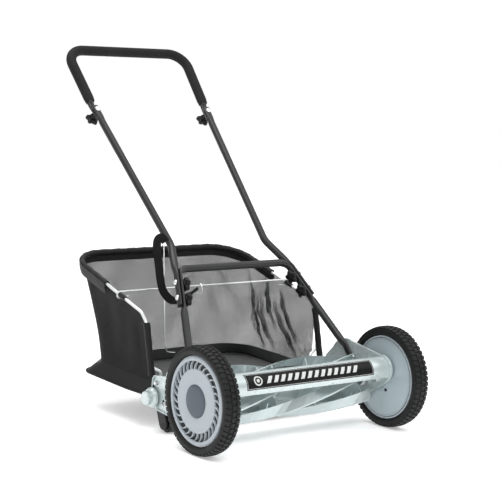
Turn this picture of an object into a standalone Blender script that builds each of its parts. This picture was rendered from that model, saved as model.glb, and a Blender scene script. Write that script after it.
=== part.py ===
"""Push reel mower with a grass catcher, modelled piece by piece in metres.

X runs across the mower, +Y points back to the person who pushes it, and +Z is up. The
drawing below is laid out from the wheel axle line, and one empty shifts it so that the
origin ends up under the middle of the whole mower.
"""
import math

import bmesh
import bpy
from mathutils import Matrix, Vector

# Driving dimensions (metres)
WHEEL_RADIUS = 0.127            # ten inch wheels
WHEEL_OUTER_X = 0.305           # half of the overall width
TYRE_WIDTH = 0.042
PLATE_X = 0.2430                # inner face of each side plate
PLATE_THICK = 0.0025
PLATE_RIM_X = 0.2505            # outer edge of the side plate's rim
GAP = 0.0003                    # clearance between touching pieces

REEL_Y, REEL_Z = 0.0472, 0.1182
REEL_RADIUS = 0.0705
BLADE_COUNT = 6
BLADE_TWIST = math.radians(252)     # twist per metre of reel
BLADE_PHASE = math.radians(58)      # angle of the first blade at mid width, from the bottom
BLADE_HALF_LENGTH = 0.218
SPIDER_X = (-0.195, -0.065, 0.065, 0.195)

RING_TEETH, PINION_TEETH = 50, 10
RING_PITCH_RADIUS = 0.060
PINION_PITCH_RADIUS = RING_PITCH_RADIUS * PINION_TEETH / RING_TEETH

COVER_Y, COVER_Z, COVER_RADIUS = -0.0165, 0.1515, 0.0320

TUBE_RADIUS, TUBE_BORE = 0.0095, 0.0080
GRIP_RADIUS = 0.0135
PIVOT_Y, PIVOT_Z = 0.0864, 0.1563   # where the handle turns on the side plates
LEG_SLOPE = math.radians(50.5)
LEG_FOOT_X = 0.2380
CROSSBAR_REACH, CROSSBAR_X = 0.3016, 0.166
BEND = (0.1465, 0.345, 0.441)       # bend of the middle tubes
JOINT = (0.1775, 0.665, 0.764)      # bolt that joins the middle and the upper tubes
GRIP_SHOULDER = (0.181, 0.6873, 0.7846)
GRIP_CORNER = (0.190, 0.8096, 0.9244)

ROLLER_Y, ROLLER_RADIUS, ROLLER_HALF_LENGTH = 0.222, 0.021, 0.235
BOSS_Y, BOSS_Z = 0.256, 0.083
HEIGHT_TRAVEL = 0.018
HOOK_Y, HOOK_Z = 0.2452, 0.1195     # holes that the catcher frame turns in

RIM_X, RIM_FRONT_Y, RIM_FRONT_Z = 0.262, 0.2943, 0.2877
RIM_REAR_Y, RIM_REAR_Z, RIM_CORNER = 0.6472, 0.392, 0.090
FRAME_RADIUS = 0.004
ROD_Y, ROD_RADIUS = 0.394, 0.0022

AXLE = Vector((0, 0, WHEEL_RADIUS))
MIDDLE_Y = (GRIP_CORNER[1] + GRIP_RADIUS - WHEEL_RADIUS) / 2

FINISHES = {
    "silver_paint": ((0.46, 0.52, 0.53), 0.38, 0.35),
    "tube_black": ((0.042, 0.045, 0.046), 0.45, 0.10),
    "foam": ((0.025, 0.026, 0.026), 0.90, 0.0),
    "tyre_rubber": ((0.032, 0.032, 0.032), 0.85, 0.0),
    "wheel_plastic": ((0.48, 0.51, 0.55), 0.40, 0.0),
    "cap_plastic": ((0.13, 0.17, 0.21), 0.45, 0.0),
    "black_plastic": ((0.02, 0.02, 0.02), 0.50, 0.0),
    "steel": ((0.55, 0.56, 0.57), 0.30, 1.0),
    "zinc": ((0.70, 0.71, 0.72), 0.25, 1.0),
    "mesh_fabric": ((0.06, 0.06, 0.06), 0.90, 0.0),
    "vinyl": ((0.02, 0.02, 0.02), 0.60, 0.0),
    "webbing": ((0.015, 0.015, 0.015), 0.85, 0.0),
}

for thing in list(bpy.data.objects):
    bpy.data.objects.remove(thing, do_unlink=True)

mower = bpy.data.objects.new("mower_origin", None)
mower.location = (0, -MIDDLE_Y, 0)
bpy.context.collection.objects.link(mower)


def finish(name):
    """A Principled material for one of the mower's finishes."""
    material = bpy.data.materials.get(name)
    if material is None:
        colour, roughness, metallic = FINISHES[name]
        material = bpy.data.materials.new(name)
        material.use_nodes = True
        shader = material.node_tree.nodes["Principled BSDF"]
        shader.inputs["Base Color"].default_value = (*colour, 1)
        shader.inputs["Roughness"].default_value = roughness
        shader.inputs["Metallic"].default_value = metallic
    return material


def piece(name, bm, finish_name, origin=(0, 0, 0), sharp=35):
    """Turn a bmesh drawn in mower coordinates into a named object with its own origin."""
    bmesh.ops.recalc_face_normals(bm, faces=bm.faces)
    bmesh.ops.translate(bm, verts=bm.verts, vec=-Vector(origin))
    mesh = bpy.data.meshes.new(name)
    bm.to_mesh(mesh)
    bm.free()
    mesh.shade_smooth()
    mesh.set_sharp_from_angle(angle=math.radians(sharp))
    mesh.materials.append(finish(finish_name))
    thing = bpy.data.objects.new(name, mesh)
    thing.parent = mower
    thing.location = origin
    bpy.context.collection.objects.link(thing)
    return thing


def cutter(name, bm):
    """A hidden body that only cuts holes."""
    bmesh.ops.recalc_face_normals(bm, faces=bm.faces)
    mesh = bpy.data.meshes.new(name)
    bm.to_mesh(mesh)
    bm.free()
    thing = bpy.data.objects.new(name, mesh)
    thing.parent = mower
    thing.hide_render = True
    thing.display_type = "WIRE"
    bpy.context.collection.objects.link(thing)
    return thing


def cut(thing, tool, operation="DIFFERENCE"):
    boolean = thing.modifiers.new(tool.name, "BOOLEAN")
    boolean.operation = operation
    boolean.object = tool


def closed_rings(bm, rings, ends="caps"):
    """Skin a list of equal rings of points; ends are capped, or joined round."""
    loops = [[bm.verts.new(p) for p in ring] for ring in rings]
    count = len(loops[0])
    pairs = list(zip(loops, loops[1:]))
    if ends == "round":
        pairs.append((loops[-1], loops[0]))
    for low, high in pairs:
        for i in range(count):
            j = (i + 1) % count
            bm.faces.new((low[i], low[j], high[j], high[i]))
    if ends == "caps":
        bm.faces.new(loops[0])
        bm.faces.new(loops[-1])


def turned(bm, profile, centre, segments=32, side=1, start=-90):
    """Spin a closed profile of (x, r) points about an axis parallel to X."""
    rings = []
    for k in range(segments):
        angle = math.radians(start) + 2 * math.pi * k / segments
        y, z = math.cos(angle), math.sin(angle)
        rings.append([(side * x, centre[1] + r * y, centre[2] + r * z) for x, r in profile])
    closed_rings(bm, rings, "round")
    bmesh.ops.remove_doubles(bm, verts=bm.verts, dist=1e-6)


def rod(bm, start, end, radius, segments=16, turn=0.0):
    """A plain round bar between two points."""
    start, end = Vector(start), Vector(end)
    along = (end - start).normalized()
    side = along.orthogonal().normalized()
    across = along.cross(side)
    rings = []
    for point in (start, end):
        ring = []
        for k in range(segments):
            angle = turn + 2 * math.pi * k / segments
            ring.append(point + radius * (math.cos(angle) * side + math.sin(angle) * across))
        rings.append(ring)
    closed_rings(bm, rings)


def prism(bm, outline, x_low, x_high):
    """Extrude a (y, z) outline along X."""
    closed_rings(bm, [[(x, y, z) for y, z in outline] for x in (x_low, x_high)])


def arc(centre, radius, first, last, count):
    """Points on an arc of the (y, z) plane, angles in degrees from +Y towards +Z."""
    points = []
    for k in range(count + 1):
        angle = math.radians(first + (last - first) * k / count)
        points.append((centre[0] + radius * math.cos(angle), centre[1] + radius * math.sin(angle)))
    return points


def rounded(points, radii, steps=4):
    """Round the inner corners of a 3-D polyline with arcs of the given radii; 0 keeps a corner."""
    points = [Vector(p) for p in points]
    path = [points[0]]
    for before, corner, after, radius in zip(points, points[1:], points[2:], radii):
        if radius == 0:
            path.append(corner)
            continue
        back = (before - corner).normalized()
        ahead = (after - corner).normalized()
        half = back.angle(ahead) / 2
        setback = radius / math.tan(half)
        centre = corner + (back + ahead).normalized() * (radius / math.sin(half))
        first = corner + back * setback - centre
        last = corner + ahead * setback - centre
        sweep = first.angle(last)
        axis = first.cross(last).normalized()
        for k in range(steps + 1):
            path.append(centre + Matrix.Rotation(sweep * k / steps, 3, axis) @ first)
    path.append(points[-1])
    return path


def frames(path):
    """Carry a pair of side directions along a path without twisting it."""
    tangents = []
    for i in range(len(path)):
        low, high = max(i - 1, 0), min(i + 1, len(path) - 1)
        tangents.append((path[high] - path[low]).normalized())
    side = tangents[0].orthogonal().normalized()
    result = []
    for tangent in tangents:
        side = (side - tangent * side.dot(tangent)).normalized()
        result.append((side, tangent.cross(side)))
    return result


def swept(bm, path, radius, bore=None, sides=10, squash=None):
    """Sweep a round bar, or a tube with a bore, along a path.

    squash(point) gives (direction, scale, shift) where the tube is pressed flat.
    """
    outside, inside = [], []
    for point, (side, across) in zip(path, frames(path)):
        pressed = squash(point) if squash else None
        for ring_radius, rings in ((radius, outside), (bore, inside)):
            if ring_radius is None:
                continue
            ring = []
            for k in range(sides):
                angle = 2 * math.pi * k / sides
                offset = ring_radius * (math.cos(angle) * side + math.sin(angle) * across)
                if pressed:
                    direction, scale, shift = pressed
                    offset += direction * (offset.dot(direction) * (scale - 1) + shift)
                ring.append(point + offset)
            rings.append(ring)
    if bore is None:
        closed_rings(bm, outside)
    else:
        closed_rings(bm, outside + inside[::-1], "round")


def mirrored(points):
    """The path that runs from the -X end over the middle to the +X end."""
    right = [Vector((-p[0], p[1], p[2])) for p in points]
    return right + [Vector(p) for p in reversed(points)]


SIDES = (("right", -1), ("left", 1))    # as the person pushing the mower sees them


# Side plates: pressed steel pans with a turned rim
def plate_outline(inset):
    """The (y, z) edge of a side plate, from the round nose over the hump to the tail."""
    nose = arc((-0.0165, 0.1515), 0.0357 - inset, 242, 78, 14)
    hump = arc((0.118, 0.148), 0.0600 - inset, 112, 30, 9)
    step = [(0.1945 - inset, 0.1560), (0.2017 - inset, 0.1425 - inset)]
    tail = [(0.2521 - inset, 0.1378 - inset), (0.2595 - inset, 0.1294)]
    tail += [(0.2620 - inset, 0.1050), (0.2391 - inset, 0.0546 + inset)]
    belly = [(0.1885, 0.0498 + inset), (0.1000 + inset / 2, 0.0455 + inset)]
    return nose + hump + step + tail + belly


def side_plate(name, side):
    bm = bmesh.new()
    prism(bm, plate_outline(0), side * PLATE_X, side * PLATE_RIM_X)
    plate = piece(f"side_plate_{name}", bm, "silver_paint")
    pocket = bmesh.new()
    prism(pocket, plate_outline(0.0020), side * (PLATE_X + PLATE_THICK), side * (PLATE_RIM_X + 0.01))
    cut(plate, cutter(f"plate_pocket_{name}", pocket))
    holes = bmesh.new()
    for y, z, radius in (
        (REEL_Y, REEL_Z, 0.0095),
        (0, WHEEL_RADIUS, 0.0064),
        (PIVOT_Y, PIVOT_Z, 0.0056),
        (HOOK_Y, HOOK_Z, 0.0065),
        (BOSS_Y, BOSS_Z, 0.0060),
        (0.2170, 0.0753, 0.0080),
    ):
        rod(holes, (side * 0.230, y, z), (side * 0.262, y, z), radius, 20)
    cut(plate, cutter(f"plate_holes_{name}", holes))


# Front cover: one sheet rolled to a half round channel, with a lip under it
def front_cover():
    sheet = 0.0015
    centre = (COVER_Y, COVER_Z)
    outer = arc(centre, COVER_RADIUS, 72, 210, 16)
    inner = arc(centre, COVER_RADIUS - sheet, 72, 210, 16)
    lip_y, lip_z = 0.0075, -0.0016
    lip = [(outer[-1][0] + lip_y, outer[-1][1] + lip_z), (inner[-1][0] + lip_y, inner[-1][1] + lip_z)]
    bm = bmesh.new()
    prism(bm, outer + lip + inner[::-1], -(PLATE_X - 0.0005), PLATE_X - 0.0005)
    piece("front_cover", bm, "silver_paint")


# Bed knife: the fixed blade just under the reel, and the angle bar that carries it
def bed_knife():
    knife_y = REEL_Y + (REEL_RADIUS + 0.0007) * math.sin(math.radians(22))
    knife_z = REEL_Z - (REEL_RADIUS + 0.0007) * math.cos(math.radians(22))
    bm = bmesh.new()
    knife = [(knife_y, knife_z), (knife_y + 0.030, knife_z), (knife_y + 0.030, knife_z - 0.003)]
    knife += [(knife_y + 0.0025, knife_z - 0.003)]
    prism(bm, knife, -0.235, 0.235)
    piece("bed_knife", bm, "steel")
    top = knife_z - 0.003 - GAP
    back, tall, sheet = 0.128, 0.100, 0.003
    bar = [(0.084, top), (back - sheet, top), (back - sheet, tall), (back, tall)]
    bar += [(back, top - sheet), (0.084, top - sheet)]
    bm = bmesh.new()
    prism(bm, bar, -(PLATE_X - GAP), PLATE_X - GAP)
    piece("bed_knife_bar", bm, "silver_paint")


# Wheels: tyre, hub with its ring gear, vented cover and cap, on a shoulder bolt
def wheel(name, side):
    inner_x = WHEEL_OUTER_X - TYRE_WIDTH
    tyre = [(0.3000, 0.1044), (0.3043, 0.1110), (0.3050, 0.1170), (0.3025, 0.1238), (0.2965, 0.1268)]
    tyre += [(0.2840, WHEEL_RADIUS), (0.2715, 0.1268), (0.2655, 0.1238), (inner_x, 0.1170)]
    tyre += [(inner_x + 0.0007, 0.1110), (0.2680, 0.1044)]
    hub = [(0.2690, 0.0085), (0.2945, 0.0085), (0.2945, 0.0160), (0.2942, 0.0990), (0.2985, 0.0992)]
    hub += [(0.2985, 0.1040), (0.2665, 0.1040), (0.2665, 0.1000), (0.2912, 0.0985), (0.2912, 0.0160)]
    hub += [(0.2690, 0.0160)]
    cover = [(0.2948, 0.0385), (0.3012, 0.0385), (0.3015, 0.0725), (0.2975, 0.0740), (0.2975, 0.0920)]
    cover += [(0.3020, 0.0935), (0.3030, 0.0955), (0.3030, 0.1008), (0.3015, 0.1024), (0.2988, 0.1024)]
    cover += [(0.2988, 0.0985), (0.2948, 0.0980)]
    cap = [(0.2982, 0.0), (0.2982, 0.0378), (0.3010, 0.0380), (0.3028, 0.0360), (0.3036, 0.0200)]
    cap += [(0.3040, 0.0)]
    axle = [(0.2360, 0.0), (0.2360, 0.0110), (0.2427, 0.0110), (0.2427, 0.0060), (0.2467, 0.0060)]
    axle += [(0.2467, 0.0080), (0.2949, 0.0080), (0.2949, 0.0130), (0.2976, 0.0130), (0.2976, 0.0)]
    shield = [(0.2458, 0.0088), (0.2458, 0.0150), (0.2509, 0.0165), (0.2509, 0.0300), (0.2655, 0.0925)]
    shield += [(0.2655, 0.0985), (0.2670, 0.0985), (0.2670, 0.0920), (0.2524, 0.0295), (0.2524, 0.0088)]
    for label, profile, segments, look in (
        ("tyre", tyre, 36, "tyre_rubber"),
        ("wheel_hub", hub, 36, "wheel_plastic"),
        ("wheel_cover", cover, 36, "wheel_plastic"),
        ("hub_cap", cap, 24, "cap_plastic"),
        ("wheel_axle", axle, 16, "zinc"),
        ("gear_shield", shield, 28, "silver_paint"),
    ):
        bm = bmesh.new()
        turned(bm, profile, AXLE, segments, side)
        made = piece(f"{label}_{name}", bm, look, origin=AXLE)
    holes = bmesh.new()
    rod(holes, (side * 0.240, REEL_Y, REEL_Z), (side * 0.280, REEL_Y, REEL_Z), 0.0100, 20)
    rod(holes, (side * 0.240, -0.026, 0.100), (side * 0.280, -0.026, 0.100), 0.0045, 12)
    cut(made, cutter(f"shield_holes_{name}", holes))


def holed_plate(bm, outline, hole, x_low, x_high):
    """A flat plate across X with one hole; the two edges may have unequal point counts."""
    walls = []
    for x in (x_low, x_high):
        edges = []
        for loop in (outline, hole):
            points = [bm.verts.new((x, y, z)) for y, z in loop]
            walls.append(points)
            edges += [bm.edges.new(pair) for pair in zip(points, points[1:] + points[:1])]
        bmesh.ops.triangle_fill(bm, edges=edges, use_beauty=False)
    for low, high in zip(walls[:2], walls[2:]):
        for i in range(len(low)):
            j = (i + 1) % len(low)
            bm.faces.new((low[i], low[j], high[j], high[i]))


def gear_ring(teeth, root, tip, root_half, tip_half, turn):
    """The (y, z) edge of a gear: straight flanks between a root and a tip circle."""
    points = []
    for k in range(teeth):
        middle = turn + 2 * math.pi * k / teeth
        for radius, half in ((root, -root_half), (tip, -tip_half), (tip, tip_half), (root, root_half)):
            angle = middle + half / radius
            points.append((radius * math.cos(angle), radius * math.sin(angle)))
    return points


def drive_gears(name, side):
    """The ring gear inside a wheel, and the pinion on the reel shaft that it turns."""
    mesh_angle = math.atan2(REEL_Z - WHEEL_RADIUS, REEL_Y)
    ring_turn = mesh_angle + math.pi / RING_TEETH
    teeth = gear_ring(RING_TEETH, 0.0624, 0.0586, 0.0016, 0.0009, ring_turn)
    rim = arc((0, 0), 0.0660, 0, 360 - 360 / 50, 49)
    bm = bmesh.new()
    holed_plate(bm, [(y, WHEEL_RADIUS + z) for y, z in rim], [(y, WHEEL_RADIUS + z) for y, z in teeth],
                side * 0.2715, side * 0.2909)
    piece(f"ring_gear_{name}", bm, "black_plastic", origin=AXLE)

    teeth = gear_ring(PINION_TEETH, 0.0098, 0.0136, 0.0014, 0.0007, mesh_angle)
    bore = [(y * 0.0083 / math.hypot(y, z), z * 0.0083 / math.hypot(y, z)) for y, z in teeth]
    rings = []
    for x, edge in ((0.2720, teeth), (0.2860, teeth), (0.2860, bore), (0.2720, bore)):
        rings.append([(side * x, REEL_Y + y, REEL_Z + z) for y, z in edge])
    bm = bmesh.new()
    closed_rings(bm, rings, "round")
    piece(f"pinion_{name}", bm, "steel", origin=(0, REEL_Y, REEL_Z))


# Reel: a shaft with welded spiders, and twisted blades that lean back from their edge
def reel_point(radius, angle):
    """A (y, z) point of the reel; the angle counts from the bottom towards the front."""
    return (REEL_Y - radius * math.sin(angle), REEL_Z - radius * math.cos(angle))


def blade_section(angle):
    """Middle line of a blade's section, its unit direction inwards and its leading side."""
    edge = Vector(reel_point(REEL_RADIUS, angle))
    heel = Vector(reel_point(0.0520, angle + math.radians(18)))
    inwards = (heel - edge).normalized()
    leading = Vector((-inwards.y, inwards.x))
    ahead = Vector(reel_point(REEL_RADIUS, angle - 0.1)) - edge
    if leading.dot(ahead) < 0:
        leading.negate()
    return edge, heel, inwards, leading


def blade_angle(index, x):
    return BLADE_PHASE + 2 * math.pi * index / BLADE_COUNT + BLADE_TWIST * x


def reel():
    thick = 0.0025
    steps = 18
    for index in range(BLADE_COUNT):
        rings = []
        for k in range(steps + 1):
            x = BLADE_HALF_LENGTH * (2 * k / steps - 1)
            edge, heel, inwards, leading = blade_section(blade_angle(index, x))
            corners = (edge, edge + inwards * 0.003 + leading * -thick, heel - leading * thick, heel)
            rings.append([(x, p.x, p.y) for p in corners])
        bm = bmesh.new()
        closed_rings(bm, rings)
        piece(f"reel_blade_{index + 1}", bm, "silver_paint", origin=(0, REEL_Y, REEL_Z))

    bm = bmesh.new()
    shaft = [(-0.2880, 0.0), (-0.2880, 0.0080), (0.2880, 0.0080), (0.2880, 0.0)]
    turned(bm, shaft, Vector((0, REEL_Y, REEL_Z)), 16)
    shaft = piece("reel_shaft", bm, "silver_paint", origin=(0, REEL_Y, REEL_Z))
    weld = 0.0009       # room for the blade's twist across the spider's thickness
    for number, x in enumerate(SPIDER_X, 1):
        outline = []
        for index in range(BLADE_COUNT):
            angle = blade_angle(index, x)
            edge, heel, inwards, leading = blade_section(angle)
            tip = edge + inwards * 0.004
            outline.append(reel_point(0.030, angle - math.radians(16)))
            outline.append(reel_point(0.046, angle - math.radians(7)))
            outline.append(tuple(tip + leading * 0.0058))
            outline.append(tuple(tip + leading * weld))
            outline.append(tuple(heel + leading * weld))
            outline.append(reel_point(0.045, angle + math.radians(25)))
            outline.append(reel_point(0.032, angle + math.radians(33)))
        tool = bmesh.new()
        prism(tool, outline, x - 0.0015, x + 0.0015)
        cut(shaft, cutter(f"spider_{number}", tool), "UNION")

    for name, side in SIDES:
        bm = bmesh.new()
        race = [(0.2280, 0.0086), (0.2280, 0.0150), (0.2330, 0.0190), (0.2427, 0.0190), (0.2427, 0.0086)]
        turned(bm, race, Vector((0, REEL_Y, REEL_Z)), 24, side)
        piece(f"reel_bearing_{name}", bm, "steel")


# Rear roller, its slotted brackets, and the bolts and knobs that clamp them
def capsule_chain(circles):
    """Outer tangent outline round circles (y, z, r) that are listed anticlockwise."""
    outline = []
    count = len(circles)
    for i in range(count):
        before, here, after = circles[i - 1], circles[i], circles[(i + 1) % count]
        headings = []
        for a, b in ((before, here), (here, after)):
            dy, dz = b[0] - a[0], b[1] - a[1]
            lean = math.asin((a[2] - b[2]) / math.hypot(dy, dz))
            headings.append(math.atan2(dz, dy) - math.pi / 2 + lean)
        first, last = headings
        while last < first:
            last += 2 * math.pi
        outline += arc(here[:2], here[2], math.degrees(first), math.degrees(last), 6)
    return outline


def roller_group():
    for name, side in SIDES:
        top = (BOSS_Y, BOSS_Z + HEIGHT_TRAVEL, 0.0115)
        bm = bmesh.new()
        prism(bm, capsule_chain([(ROLLER_Y, 0.0235, 0.0160), top]), side * 0.2385, side * 0.2426)
        bracket = piece(f"roller_bracket_{name}", bm, "black_plastic")
        slot = capsule_chain([(BOSS_Y, BOSS_Z, 0.0058), (BOSS_Y + 1e-5, BOSS_Z + HEIGHT_TRAVEL, 0.0058)])
        tool = bmesh.new()
        prism(tool, slot, side * 0.230, side * 0.250)
        rod(tool, (side * 0.230, ROLLER_Y, ROLLER_RADIUS), (side * 0.250, ROLLER_Y, ROLLER_RADIUS), 0.0053)
        cut(bracket, cutter(f"bracket_slot_{name}", tool))

        boss = [(0.2240, 0.0), (0.2240, 0.0050), (0.2508, 0.0050), (0.2508, 0.0250), (0.2560, 0.0250)]
        boss += [(0.2610, 0.0215), (0.2620, 0.0175), (0.2720, 0.0170), (0.2745, 0.0150), (0.2750, 0.0)]
        bm = bmesh.new()
        turned(bm, boss, Vector((0, BOSS_Y, BOSS_Z)), 24, side)
        piece(f"height_bolt_{name}", bm, "silver_paint")
        place = Vector((side * 0.2382, BOSS_Y, BOSS_Z))
        star_knob(f"height_knob_{name}", place, Vector((-side, 0, 0)), stem=0.004, bore=0.0053)

    bm = bmesh.new()
    centre = Vector((0, ROLLER_Y, ROLLER_RADIUS))
    length = ROLLER_HALF_LENGTH
    drum = [(-0.2430, 0.0), (-0.2430, 0.0050), (-length, 0.0050), (-length, ROLLER_RADIUS - 0.003)]
    drum += [(0.003 - length, ROLLER_RADIUS), (length - 0.003, ROLLER_RADIUS)]
    drum += [(length, ROLLER_RADIUS - 0.003), (length, 0.0050), (0.2430, 0.0050), (0.2430, 0.0)]
    turned(bm, drum, centre, 28)
    piece("rear_roller", bm, "black_plastic", origin=centre)


def star_knob(name, place, outwards, stem=0.006, bore=None, radius=0.0185, lobes=5):
    """A lobed clamping knob: a stem that meets the tube, and a star shaped head."""
    side = Vector((1, 0, 0)) if abs(outwards.x) < 0.5 else Vector((0, 1, 0))
    across = outwards.cross(side).normalized()
    side = across.cross(outwards)

    def ring(height, size, wave):
        points = []
        for k in range(lobes * 4):
            angle = 2 * math.pi * k / (lobes * 4)
            reach = size * (1 + wave * math.cos(lobes * angle))
            points.append(outwards * height + reach * (math.cos(angle) * side + math.sin(angle) * across))
        return points

    head = stem + 0.013
    rings = [ring(0, 0.0080, 0), ring(stem, 0.0090, 0), ring(stem + 0.001, radius * 0.80, 0.16)]
    rings += [ring(head - 0.002, radius * 0.84, 0.18), ring(head, radius * 0.70, 0.16)]
    bm = bmesh.new()
    if bore:
        inside = [ring(head, bore, 0), ring(0, bore, 0)]
        closed_rings(bm, rings + inside, "round")
    else:
        closed_rings(bm, rings)
    bmesh.ops.translate(bm, verts=bm.verts, vec=place)
    return piece(name, bm, "black_plastic", origin=place)


# Handle: lower U frame, two middle tubes, the upper loop and its foam grip
def leg_point(reach, x):
    """A point of the lower handle's plane, measured up from the pivot."""
    return Vector((x, PIVOT_Y + reach * math.cos(LEG_SLOPE), PIVOT_Z + reach * math.sin(LEG_SLOPE)))


LEG_KNEE = 0.045
LEG_FLARE = (LEG_FOOT_X - CROSSBAR_X) / (CROSSBAR_REACH - LEG_KNEE)
LAP_LOW, LAP_HIGH = 0.196, 0.284        # where the middle tubes lie against the legs
CLAMPS = (0.2180, 0.2607)               # reach of the two bolts of each lap
FLAT = 0.48                             # thickness left where a tube is pressed flat
LAP = TUBE_RADIUS * FLAT + GAP          # half the spacing of two flattened tubes


def leg_x(reach):
    return LEG_FOOT_X - max(reach - LEG_KNEE, 0) * LEG_FLARE


def leg_normal(side):
    """The direction square to a leg, pointing outwards in the plane of the lower handle."""
    return Vector((side, LEG_FLARE * math.cos(LEG_SLOPE), LEG_FLARE * math.sin(LEG_SLOPE))).normalized()


def ease(value, low, high):
    share = min(max((value - low) / (high - low), 0), 1)
    return share * share * (3 - 2 * share)


def pressed_leg(point):
    """The lower handle is flat at its pivots and where the middle tubes are bolted on."""
    if abs(point.x) < 0.1:
        return None
    reach = (point.z - PIVOT_Z) / math.sin(LEG_SLOPE)
    lap = ease(reach, LAP_LOW - 0.030, LAP_LOW - 0.006) * (1 - ease(reach, LAP_HIGH + 0.004, LAP_HIGH + 0.020))
    foot = 1 - ease(reach, LEG_KNEE, LEG_KNEE + 0.022)
    side = math.copysign(1, point.x)
    direction = leg_normal(side) if lap > foot else Vector((side, 0, 0))
    return direction, 1 - (1 - FLAT) * max(lap, foot), 0


def handle():
    half = [leg_point(-0.013, LEG_FOOT_X), leg_point(LEG_KNEE, LEG_FOOT_X)]
    for reach in (LEG_KNEE + 0.024, LAP_LOW - 0.030, LAP_LOW - 0.006, LAP_HIGH - 0.010):
        half.append(leg_point(reach, leg_x(reach)))
    half.append(leg_point(CROSSBAR_REACH, CROSSBAR_X))
    path = rounded(mirrored(half), [0.040, 0, 0, 0, 0, 0.026, 0.026, 0, 0, 0, 0, 0.040], 4)
    bm = bmesh.new()
    swept(bm, path, TUBE_RADIUS, TUBE_BORE, 10, pressed_leg)
    lower = piece("lower_handle", bm, "tube_black", origin=(0, PIVOT_Y, PIVOT_Z))

    along = (Vector(GRIP_SHOULDER) - Vector(JOINT)).normalized()
    normal = Vector((0, -along.z, along.y)).normalized()
    for name, side in SIDES:
        pin = bmesh.new()
        rod(pin, (side * 0.2355, PIVOT_Y, PIVOT_Z), (side * 0.2560, PIVOT_Y, PIVOT_Z), 0.0050, 16)
        cut(lower, cutter(f"handle_pin_{name}", pin), "UNION")
        middle_tube(name, side, normal)
        holes = bmesh.new()
        for reach in CLAMPS:
            spot = leg_point(reach, side * leg_x(reach))
            rod(holes, spot - leg_normal(side) * 0.02, spot + leg_normal(side) * 0.03, 0.0036, 12)
        tool = cutter(f"clamp_holes_{name}", holes)
        cut(lower, tool)
        cut(bpy.data.objects[f"middle_tube_{name}"], tool)
        clamps(name, side)

    joint, shoulder, top = Vector(JOINT), Vector(GRIP_SHOULDER), Vector(GRIP_CORNER)
    half = [joint - along * 0.016, joint + along * 0.018, shoulder, top]
    path = rounded(mirrored(half), [0, 0.02, 0.050, 0.050, 0.02, 0], 3)

    def flatten(point):
        share = 1 - ease((point.z - joint.z), 0.0125, 0.026)
        return normal, 1 - (1 - FLAT) * share, -LAP * share

    bm = bmesh.new()
    swept(bm, path, TUBE_RADIUS, TUBE_BORE, 10, flatten)
    upper = piece("upper_handle", bm, "tube_black", origin=(0, PIVOT_Y, PIVOT_Z))
    grip_start = shoulder + (top - shoulder).normalized() * 0.004
    path = rounded(mirrored([tuple(grip_start), tuple(top)]), [0.050, 0.050], 3)
    bm = bmesh.new()
    swept(bm, path, GRIP_RADIUS, TUBE_RADIUS / math.cos(math.pi / 10) + GAP, 10)
    piece("foam_grip", bm, "foam", origin=(0, PIVOT_Y, PIVOT_Z))

    for name, side in SIDES:
        spot = Vector((side * joint.x, joint.y, joint.z))
        hole = bmesh.new()
        rod(hole, spot - normal * 0.02, spot + normal * 0.02, 0.0036, 12)
        tool = cutter(f"joint_hole_{name}", hole)
        cut(upper, tool)
        cut(bpy.data.objects[f"middle_tube_{name}"], tool)
        dome_bolt(f"joint_bolt_{name}", spot + normal * 0.0098, -normal, 0.0360)
        star_knob(f"joint_knob_{name}", spot - normal * 0.0146, -normal, stem=0.008, bore=0.0036)


def middle_tube(name, side, normal):
    joint, bend = Vector(JOINT), Vector(BEND)
    along = (joint - bend).normalized()
    lap = [leg_point(reach, leg_x(reach)) for reach in (LAP_LOW, LAP_LOW + 0.02, LAP_HIGH)]
    points = [p + leg_normal(1) * 2 * LAP for p in lap]
    points += [bend, joint - along * 0.044, joint - along * 0.018, joint + along * 0.014]
    points = [Vector((side * p.x, p.y, p.z)) for p in points]
    path = rounded(points, [0, 0, 0.060, 0, 0], 3)

    def squash(point):
        if point.z > joint.z - 0.05:
            share = ease(point.z - joint.z, -0.030, -0.0125)
            return normal, 1 - (1 - FLAT) * share, LAP * share
        reach = (point.z - PIVOT_Z) / math.sin(LEG_SLOPE)
        share = 1 - ease(reach, LAP_HIGH + 0.020, LAP_HIGH + 0.060)
        return leg_normal(side), 1 - (1 - FLAT) * share, 0

    bm = bmesh.new()
    swept(bm, path, TUBE_RADIUS, TUBE_BORE, 10, squash)
    piece(f"middle_tube_{name}", bm, "tube_black", origin=(0, PIVOT_Y, PIVOT_Z))


def dome_bolt(name, seat, inwards, length):
    """A carriage bolt: a low dome that seats on the tube, and a plain shank."""
    side = inwards.orthogonal().normalized()
    across = inwards.cross(side)
    rings = []
    for height, radius in ((-0.0040, 0.0028), (-0.0030, 0.0058), (0, 0.0074), (0, 0.0030), (length, 0.0030)):
        ring = []
        for k in range(12):
            angle = 2 * math.pi * k / 12
            ring.append(seat + inwards * height + radius * (math.cos(angle) * side + math.sin(angle) * across))
        rings.append(ring)
    bm = bmesh.new()
    closed_rings(bm, rings)
    piece(name, bm, "zinc")


def clamps(name, side):
    outwards = leg_normal(side)
    for number, reach in enumerate(CLAMPS, 1):
        centre = leg_point(reach, side * leg_x(reach))
        dome_bolt(f"clamp_bolt_{name}_{number}", centre + outwards * (3 * LAP + GAP), -outwards, 0.0310)
        knob = centre - outwards * (LAP + GAP)
        star_knob(f"clamp_knob_{name}_{number}", knob, -outwards, stem=0.002, bore=0.0036)


# Grass catcher: wire frame, mesh bag, vinyl floor, cross rod, lifting strap and its hook
def rim_height(y):
    share = (y - RIM_FRONT_Y) / (RIM_REAR_Y - RIM_FRONT_Y)
    return RIM_FRONT_Z + share * (RIM_REAR_Z - RIM_FRONT_Z)


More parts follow.
